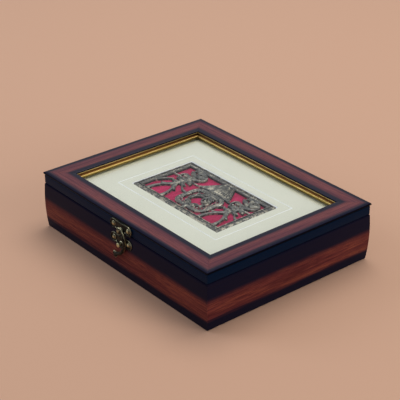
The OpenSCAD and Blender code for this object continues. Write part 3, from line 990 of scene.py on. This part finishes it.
def swell(piece, rest, faceUp, cap, low, high):
    # blows the loose face up as cloth, with the glued face held
    glued = piece.vertex_groups.new(name="glued")
    backZ = (min if faceUp else max)(vert.co.z for vert in piece.data.vertices)
    held = [vert.index for vert in piece.data.vertices if abs(vert.co.z - backZ) < 0.01 * mm]
    glued.add(held, 1.0, "REPLACE")
    settings = piece.modifiers.new("swell", "CLOTH").settings
    settings.quality = pads["quality"]
    settings.mass = pads["mass"]
    settings.use_pressure = True
    settings.uniform_pressure_force = pads["pressure"]
    settings.vertex_group_mass = "glued"
    settings.effector_weights.gravity = 0
    settings.tension_stiffness = pads["stretch"]
    settings.compression_stiffness = pads["stretch"]
    settings.bending_stiffness = pads["bend"]
    scene = bpy.context.scene
    for step in range(1, pads["frames"] + 1):
        scene.frame_set(step)
    graph = bpy.context.evaluated_depsgraph_get()
    shaped = piece.evaluated_get(graph).to_mesh()
    moved = [vert.co.copy() for vert in shaped.vertices]
    piece.evaluated_get(graph).to_mesh_clear()
    piece.modifiers.clear()
    scene.frame_set(1)
    for vert, was, now in zip(piece.data.vertices, rest, moved):
        move = now - was
        if move.length > cap:
            move = move * (cap / move.length)
        vert.co = was + move
        for axis in range(3):
            vert.co[axis] = min(max(vert.co[axis], low[axis]), high[axis])


def makePad(name, node, body, faceUp, material):
    low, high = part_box(node)
    inset = pads["edgeIn"] * mm
    thick = high.z - low.z
    sizeX = high.x - low.x - 2 * inset
    sizeY = high.y - low.y - 2 * inset
    bm = bmesh.new()
    bmesh.ops.create_grid(bm, x_segments=round(sizeX / mm / pads["cell"]),
                          y_segments=round(sizeY / mm / pads["cell"]), size=0.5)
    bmesh.ops.scale(bm, vec=(sizeX, sizeY, 1), verts=bm.verts)
    lift = thick * pads["start"] * (1 if faceUp else -1)
    made = bmesh.ops.extrude_face_region(bm, geom=bm.faces[:])["geom"]
    bmesh.ops.translate(bm, vec=(0, 0, lift), verts=vertsOf(made))
    upright = [edge for edge in bm.edges if abs(edge.verts[0].co.z - edge.verts[1].co.z) > 1e-5]
    bmesh.ops.subdivide_edges(bm, edges=upright, cuts=1, use_grid_fill=True)
    bmesh.ops.translate(bm, vec=(0, 0, low.z if faceUp else high.z), verts=bm.verts)
    piece = finishMesh(name, bm, material, 180)
    rest = [vert.co.copy() for vert in piece.data.vertices]
    room = thick * (1 - pads["start"]) * pads["room"]
    swell(piece, rest, faceUp, room, low, high)
    piece.data.update()
    smooth = piece.modifiers.new("smooth", "SUBSURF")
    smooth.levels = 1
    smooth.render_levels = 1
    settle(piece, body, "velvet", node)


def makeLiner(name, node, material):
    # a thin board wrapped in velvet, with a rolled top edge
    low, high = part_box(node)
    bm = bmesh.new()
    bmesh.ops.create_cube(bm, size=1)
    bmesh.ops.scale(bm, vec=high - low, verts=bm.verts)
    bmesh.ops.translate(bm, vec=(low + high) / 2, verts=bm.verts)
    rim = [edge for edge in bm.edges if all(vert.co.z > high.z - 1e-5 for vert in edge.verts)]
    bmesh.ops.bevel(bm, geom=rim, offset=pads["roll"] * mm, affect="EDGES", segments=5,
                    profile=0.5, material=-1)
    settle(finishMesh(name, bm, material, 60), "base", "velvet", node)


latch = {
    # mm and degrees; the hook is an arc about hookCentre, measured from its rivet
    "nailGap": 17.4,
    "wing": 4.0,
    "lobe": 3.7,
    "drop": 2.6,
    "thick": 0.8,
    "dish": 0.42,
    "hookWide": 2.6,
    "hookCrown": 1.4,
    "hookRound": 12.5,
    "hookCentre": (-6.5, -8.2),
    "hookFrom": 60,
    "hookTo": -64,
    "tail": 3.4,
    "thumbLong": 3.5,
    "thumbWide": 7.2,
    # how far the lid's plate stands off the lid, under the lip
    "stand": 0.8,
    "nailR": 1.3,
    "nailTall": 0.55,
    "shank": 0.55,
    "nailLong": 6,
}

# dark, mid and worn colours, the worn one being wear and a painted highlight, the share of it, and
# how far it keeps to the edges
brasses = {
    "antique_brass": ((0.011, 0.011, 0.010), (0.044, 0.044, 0.035), (0.46, 0.43, 0.27), 0.20, 0.7),
    "rubbed_brass": ((0.10, 0.09, 0.045), (0.32, 0.285, 0.15), (0.70, 0.64, 0.38), 0.75, 0.0),
    "dulled_brass": ((0.030, 0.028, 0.020), (0.13, 0.12, 0.075), (0.46, 0.43, 0.27), 0.72, 0.0),
    "hinge_brass": ((0.045, 0.038, 0.020), (0.20, 0.165, 0.085), (0.58, 0.50, 0.29), 0.30, 0.7),
}


def brassFinish(name):
    dark, mid, bright, share, edgeRubAndGlintShare = brasses[name]
    shader = Shader(name, Metallic=1.0, Roughness=0.4)
    spots = shader.noise(shader.place(), 420, 4.0, 0.6)
    fine = shader.noise(shader.place(), 1800, 3.0, 0.6)
    edge = shader.node("ShaderNodeNewGeometry", out="Pointiness")
    # wear and painted highlight: sharp edges and random spots turn to the bright colour
    edgeRubAndGlint = shader.band(edge, 0.50, 0.58)
    base = shader.mix(shader.band(spots, 0.35, 0.70), dark, mid)
    wornAndGlint = shader.band(spots * 0.4 + fine * 0.2 + edgeRubAndGlint * edgeRubAndGlintShare, 0.95 - share, 1.15 - share)
    shader.to(Base_Color=shader.mix(wornAndGlint, base, bright))
    shader.to(Roughness=0.50 - wornAndGlint * 0.22 + fine * 0.10)
    shader.bump(spots * 0.7 + fine * 0.3, 0.22, 0.06 * mm)
    return shader.material


def butterflyOutline():
    # two wings and a lobe, anticlockwise, x from the middle and y from the nails
    g = latch["nailGap"] / 2
    wing = latch["wing"]
    points = arcPoints(g, 0, wing, -132, 86, 20)
    points += [(g - 3, wing - 0.2), (0, wing - 0.5), (3 - g, wing - 0.2)]
    points += arcPoints(-g, 0, wing, 94, 312, 20)
    points += arcPoints(0, -latch["drop"], latch["lobe"], 200, 340, 16)
    return points


def stampedPlate(pearls):
    # a plate whose middle is pressed in behind a rolled rim, lying on the plane z 0
    bm = bmesh.new()
    verts = [bm.verts.new((x * mm, y * mm, 0)) for x, y in butterflyOutline()]
    face = bm.faces.new(verts)
    made = bmesh.ops.extrude_face_region(bm, geom=[face])["geom"]
    top = [part for part in made if isinstance(part, bmesh.types.BMFace)]
    bmesh.ops.translate(bm, vec=(0, 0, (latch["thick"] - 0.25) * mm), verts=vertsOf(made))
    # each step goes in by an inset and up by a rise: the rim's roll, then the dish
    for inset, rise in ((0.12, 0.17), (0.18, 0.08), (0.35, 0.0), (0.18, -0.08),
                        (0.25, -latch["dish"])):
        bmesh.ops.inset_region(bm, faces=top, thickness=inset * mm, depth=0,
                               use_even_offset=True)
        bmesh.ops.translate(bm, vec=(0, 0, rise * mm), verts=top[0].verts[:])
    floorZ = (latch["thick"] - 0.08 - latch["dish"]) * mm
    for x, y, r, tall in pearls:
        pearl = lathe(scaled([(0, 0), (r, 0), (r * 0.94, tall * 0.5), (r * 0.8, tall * 0.9),
                              (r * 0.66, tall), (r * 0.5, tall * 0.86), (0, tall * 0.7)]), 24)
        addTo(bm, pearl, Matrix.Translation((x * mm, y * mm, floorZ - 0.1 * mm)))
    return bm


def makeHook(material):
    low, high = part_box("latch_hook")
    pivotLow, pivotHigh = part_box("latch_rivet")
    pivotX = (pivotLow.x + pivotHigh.x) / 2
    pivotZ = (pivotLow.z + pivotHigh.z) / 2
    thick = (high.y - low.y) / mm
    cx, cy = latch["hookCentre"]
    wide = latch["hookWide"]
    whole = bmesh.new()
    domed = [(0.5, 0), (0.5, 0.38), (0.40, 0.74), (0.2, 0.95), (0, 1), (-0.2, 0.95),
             (-0.40, 0.74), (-0.5, 0.38), (-0.5, 0)]
    path = arcPoints(cx, cy, latch["hookRound"], latch["hookFrom"], latch["hookTo"], 36)
    wides = [wide * min(1.0, 0.42 + 0.10 * k) for k in range(37)]
    turn = math.radians(latch["hookTo"] - 90)
    lastX, lastY = path[-1]
    run = latch["tail"] + latch["thumbLong"]
    for k in range(1, 13):
        far = run * k / 12
        path.append((lastX + far * math.cos(turn), lastY + far * math.sin(turn)))
        flare = max(0, (far - latch["tail"] * 0.55) / (run - latch["tail"] * 0.55))
        tip = min(1, 2.6 * (1.16 - flare)) ** 0.5
        wides.append((wide + (latch["thumbWide"] - wide) * flare ** 1.15) * tip)
    count = len(path)
    talls = [thick * min(latch["hookCrown"], 0.7 + 0.06 * k) for k in range(count)]
    for k in range(1, 11):
        talls[-k] = thick * (0.52 + 0.085 * k)
    sweep(whole, domed, path, wides, talls, 0)
    # a rolled lip closes the thumb's rounded end
    endX, endY = path[-1]
    for side in (-1, 1):
        lip = []
        for k in range(7):
            out = side * wides[-1] / 2 * k / 6
            back = 0.8 * (k / 6) ** 2
            lip.append((endX - back * math.cos(turn) - out * math.sin(turn),
                        endY - back * math.sin(turn) + out * math.cos(turn)))
        sweep(whole, domed, lip, [1.0, 1.2, 1.3, 1.4, 1.4, 1.3, 1.0],
              [thick * f for f in (0.55, 0.66, 0.74, 0.76, 0.7, 0.6, 0.4)], 0)
    eye = lathe(scaled([(1.15, 0.0), (2.5, 0.0), (2.7, 0.2), (2.7, thick - 0.45),
                        (2.45, thick - 0.2), (2.0, thick - 0.1), (1.4, thick - 0.2),
                        (1.15, thick - 0.3), (1.15, 0.0)]), 36)
    addTo(whole, eye)
    bmesh.ops.transform(whole, matrix=outOfFront(pivotX, high.y, pivotZ), verts=whole.verts)
    piece = finishMesh("swing_hook", whole, material, 60)
    settle(piece, "hook", "antique_brass", "latch_hook")


def domeHead(r, tall, shank, length):
    points = [(0, -length), (shank, -length), (shank, 0), (r, 0)]
    points += [(r * math.cos(a), tall * math.sin(a)) for a in
               (math.radians(90 * k / 6) for k in range(1, 6))]
    return lathe(scaled(points + [(0, tall)]), 20)


def makePlate(name, node, body, stand, material):
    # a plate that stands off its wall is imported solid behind
    low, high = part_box(node)
    middle = (low.x + high.x) / 2
    nailZ = high.z - latch["wing"] * mm
    back = high.y - stand * mm
    g = latch["nailGap"] / 2
    bm = stampedPlate([(0, -latch["drop"], 2.3, 0.6), (-g, 0, 2.0, 0.34), (g, 0, 2.0, 0.34)])
    bmesh.ops.transform(bm, matrix=outOfFront(middle, back, nailZ), verts=bm.verts)
    if stand:
        packing = bmesh.new()
        verts = [packing.verts.new((x * 0.95 * mm, max(y, -2.8) * 0.95 * mm, 0.05 * mm))
                 for x, y in butterflyOutline()]
        bmesh.ops.remove_doubles(packing, verts=verts, dist=0.01 * mm)
        face = packing.faces.new(packing.verts[:])
        made = bmesh.ops.extrude_face_region(packing, geom=[face])["geom"]
        bmesh.ops.translate(packing, vec=(0, 0, -stand * mm), verts=vertsOf(made))
        addTo(bm, packing, outOfFront(middle, back, nailZ))
    settle(finishMesh(name, bm, material, 40), body, "antique_brass", node)


def makeNails(name, node, body, material):
    low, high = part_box(node)
    r = latch["nailR"]
    tall = latch["nailTall"]
    whole = bmesh.new()
    for x in (low.x + r * mm, high.x - r * mm):
        addTo(whole, domeHead(r, tall, latch["shank"], latch["nailLong"]),
              outOfFront(x, low.y + tall * mm, (low.z + high.z) / 2))
    settle(finishMesh(name, whole, material, 50), body, "bright_brass", node)


def makeStud(name, node, body, profile, material):
    low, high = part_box(node)
    stud = lathe(scaled(profile), 28)
    bmesh.ops.transform(stud, verts=stud.verts, matrix=outOfFront(
        (low.x + high.x) / 2, high.y, (low.z + high.z) / 2))
    settle(finishMesh(name, stud, material, 45), body, "bright_brass", node)


def makeLatch(antique, bright, dull):
    makePlate("catch_plate_stamped", "catch_plate", "base", 0.0, antique)
    makePlate("latch_plate_stamped", "latch_plate", "lid", latch["stand"], antique)
    makeHook(antique)
    makeNails("catch_nail_heads", "catch_nails", "base", bright)
    makeNails("latch_nail_heads", "latch_nails", "lid", bright)
    # outlines of (radius, height) from the plate outwards
    peg = [(0, 0), (1.2, 0), (1.2, 3.0), (1.45, 3.15), (1.8, 3.3), (1.8, 3.45),
           (1.55, 3.75), (1.0, 3.95), (0, 4.0)]
    makeStud("catch_peg_turned", "catch_peg", "base", peg, bright)
    low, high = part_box("latch_rivet")
    length = (high.y - low.y) / mm
    rivet = [(0, 0), (1.1, 0), (1.1, length - 0.6), (1.6, length - 0.6),
             (1.55, length - 0.45), (1.2, length - 0.3), (0.7, length - 0.22),
             (0, length - 0.2)]
    makeStud("hook_rivet", "latch_rivet", "lid", rivet, dull)


def plainWoodFinish(name, dark, light):
    shader = Shader(name, Roughness=0.7)
    x, y, z = shader.axes()
    rings = shader.noise(shader.vector(x * 14, y * 160, z * 160), 1.0, 4.0, 0.6)
    shader.to(Base_Color=shader.mix(rings, dark, light))
    shader.bump(rings, 0.3, 0.2 * mm)
    return shader.material


def steelFinish():
    shader = Shader("bare_steel", Metallic=1.0, Roughness=0.4)
    spots = shader.noise(shader.place(), 700, 3.0, 0.6)
    shader.to(Base_Color=shader.mix(spots, (0.30, 0.31, 0.33), (0.55, 0.56, 0.58)))
    return shader.material


def keep(names, material):
    for name in names:
        piece = nodes[name]
        piece.data.materials.clear()
        piece.data.materials.append(material)


makeCamera()
makeLights()
bpy.context.scene.view_settings.view_transform = "Standard"
print("camera and lights ready")

floorShader = Shader("floor", Roughness=0.9)
floorShader.surface.inputs["Base Color"].default_value = (*studio["floorColour"], 1)
floorMesh = bmesh.new()
bmesh.ops.create_grid(floorMesh, x_segments=1, y_segments=1, size=studio["floorSize"] / 2)
floor = finishMesh("floor", floorMesh, floorShader.material)
floor.location.z = -studio["floorDrop"]

makeWalls(woodFinish("wall_wood", False))
makeLidFrame(woodFinish("rail_wood", True), giltFinish())
print("wood and gilt done")

makeMat(matFinish())
makePlaque(pewterFinish())
makeCloth(clothFinish())
keep(["glass"], glassFinish())
print("picture done")

antique, bright, dull, hingeBrass = [brassFinish(name) for name in brasses]
makeLatch(antique, bright, dull)
keep(["hinge_left_body_leaf", "hinge_right_body_leaf", "hinge_left_lid_leaf",
      "hinge_right_lid_leaf", "hinge_left_pin", "hinge_right_pin"], hingeBrass)
keep(["hinge_body_screws", "hinge_lid_screws"], bright)
print("latch and hinges done")

velvet = velvetFinish()
for side in sideTurn:
    makeLiner(side + "_lining", side + "_liner", velvet)
makePad("base_cushion", "base_pad", "base", True, velvet)
makePad("lid_cushion", "lid_pad", "lid", False, velvet)
keep(["base_felt"], feltFinish())
keep(["bottom_panel"], plainWoodFinish("plywood", (0.30, 0.19, 0.10), (0.52, 0.36, 0.21)))
keep(["lid_backing"], plainWoodFinish("hardboard", (0.10, 0.05, 0.03), (0.17, 0.09, 0.05)))
keep(["wall_corner_wedges", "bottom_brads", "rail_corner_wedges", "backing_brads"],
     steelFinish())
print("linings done")
